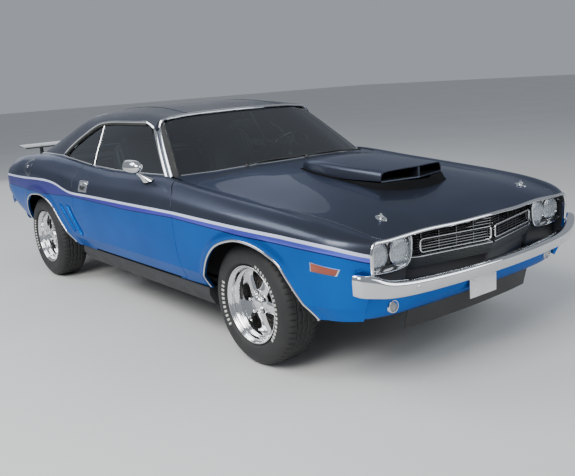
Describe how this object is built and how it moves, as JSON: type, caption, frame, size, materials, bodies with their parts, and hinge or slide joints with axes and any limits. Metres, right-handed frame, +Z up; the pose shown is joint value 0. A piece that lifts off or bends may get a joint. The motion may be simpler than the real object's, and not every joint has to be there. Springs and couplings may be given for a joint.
{
  "type": "muscle car",
  "caption": "Two-door hardtop muscle car with long hood, raised air scoop, fastback vinyl roof, rear wing, chrome bumpers and polished deep-dish wheels.",
  "frame": {"origin": "on the ground, midway between the bumpers' front and rear faces and midway between the sides", "axes": "+X forward, +Y to the car's left, +Z up; the car is longest along X and lowest along Z"},
  "size_m": [4.86, 1.938, 1.32],
  "materials": {
    "tyre": "matt black rubber with a plain raised white band of marks",
    "polished_rim": "polished",
    "glass": "clear with a light tint",
    "chrome": "mirror",
    "dark_paint": "gloss charcoal metallic",
    "two_tone_paint": "gloss blue metallic below a light line, charcoal above",
    "blue_paint": "gloss blue metallic",
    "vinyl_roof": "grained vinyl",
    "black_plastic": "matt black",
    "lamp_glass": "fluted clear lens",
    "red_lens": "gloss red",
    "seat_vinyl": "grained vinyl",
    "wheel_rim_plastic": "gloss black",
    "cast_iron": "painted casting",
    "dull_steel": "dull",
    "black_steel": "satin black chassis paint"
  },
  "bodies": {
    "body": {"cowl_panel": "dark_paint", "cross_walls": "black_steel", "dashboard": "black_plastic", "deck_panel": "dark_paint", "engine_block": "cast_iron", "exhaust": "dull_steel", "floor_pan": "black_steel", "front_bumper": "chrome", "front_fender_left": "two_tone_paint", "front_fender_right": "two_tone_paint", "front_seats": "seat_vinyl", "front_suspension": "black_steel", "front_valance": "blue_paint", "fuel_tank": "dull_steel", "grille": "black_plastic", "headlamps": "lamp_glass", "inner_fenders": "blue_paint", "leaf_springs": "black_steel", "quarter_glass": "glass", "rear_axle": "black_steel", "rear_bumper": "chrome", "rear_quarter_left": "two_tone_paint", "rear_quarter_right": "two_tone_paint", "rear_seat": "seat_vinyl", "rear_window": "glass", "roof": "vinyl_roof", "sills": "blue_paint", "tail_lamps": "red_lens", "tail_panel": "dark_paint", "trunk_floor": "black_steel", "wheel_tubs": "blue_paint", "windshield": "glass"},
    "door_left": {"door_left": "two_tone_paint", "door_glass_left": "glass"},
    "door_right": {"door_right": "two_tone_paint", "door_glass_right": "glass", "door_mirror_right": "chrome"},
    "hood": {"hood": "dark_paint", "hood_scoop": "dark_paint"},
    "trunk_lid": {"trunk_lid": "dark_paint", "rear_wing": "dark_paint"},
    "steering_wheel": {"steering_wheel": "wheel_rim_plastic"},
    "knuckle_left": {"front_knuckle_left": "black_steel"},
    "knuckle_right": {"front_knuckle_right": "black_steel"},
    "wheel_front_left": {"rim_front_left": "polished_rim", "tyre_front_left": "tyre"},
    "wheel_front_right": {"rim_front_right": "polished_rim", "tyre_front_right": "tyre"},
    "wheel_rear_left": {"rim_rear_left": "polished_rim", "tyre_rear_left": "tyre"},
    "wheel_rear_right": {"rim_rear_right": "polished_rim", "tyre_rear_right": "tyre"}
  },
  "joints": [
    {"name": "door_left_hinge", "type": "hinge", "parent": "body", "child": "door_left", "pos_m": [0.925, 0.944, 0.6], "axis": [0, 0, -1], "range_deg": [0, 65]},
    {"name": "door_right_hinge", "type": "hinge", "parent": "body", "child": "door_right", "pos_m": [0.925, -0.944, 0.6], "axis": [0, 0, 1], "range_deg": [0, 65]},
    {"name": "hood_hinge", "type": "hinge", "parent": "body", "child": "hood", "pos_m": [0.936, 0, 0.935], "axis": [0, -1, 0], "range_deg": [0, 55]},
    {"name": "trunk_hinge", "type": "hinge", "parent": "body", "child": "trunk_lid", "pos_m": [-1.686, 0, 0.972], "axis": [0, 1, 0], "range_deg": [0, 70]},
    {"name": "steering_left", "type": "hinge", "parent": "body", "child": "knuckle_left", "pos_m": [1.5, 0.69, 0.325], "axis": [0, 0, 1], "range_deg": [-33, 33]},
    {"name": "steering_right", "type": "hinge", "parent": "body", "child": "knuckle_right", "pos_m": [1.5, -0.69, 0.325], "axis": [0, 0, 1], "range_deg": [-33, 33]},
    {"name": "steering_wheel_turn", "type": "hinge", "parent": "body", "child": "steering_wheel", "pos_m": [0.33, 0.372, 0.9], "axis": [-0.9135, 0, 0.4067], "range_deg": [-540, 540]},
    {"name": "wheel_front_left_spin", "type": "hinge", "parent": "knuckle_left", "child": "wheel_front_left", "pos_m": [1.5, 0.774, 0.325], "axis": [0, 1, 0], "continuous": true},
    {"name": "wheel_front_right_spin", "type": "hinge", "parent": "knuckle_right", "child": "wheel_front_right", "pos_m": [1.5, -0.774, 0.325], "axis": [0, 1, 0], "continuous": true},
    {"name": "wheel_rear_left_spin", "type": "hinge", "parent": "body", "child": "wheel_rear_left", "pos_m": [-1.294, 0.79, 0.325], "axis": [0, 1, 0], "continuous": true},
    {"name": "wheel_rear_right_spin", "type": "hinge", "parent": "body", "child": "wheel_rear_right", "pos_m": [-1.294, -0.79, 0.325], "axis": [0, 1, 0], "continuous": true}
  ],
  "couplings": [
    {"joint": "steering_right", "follows": "steering_left", "ratio": 1},
    {"joint": "steering_wheel_turn", "follows": "steering_left", "ratio": 15.7}
  ]
}
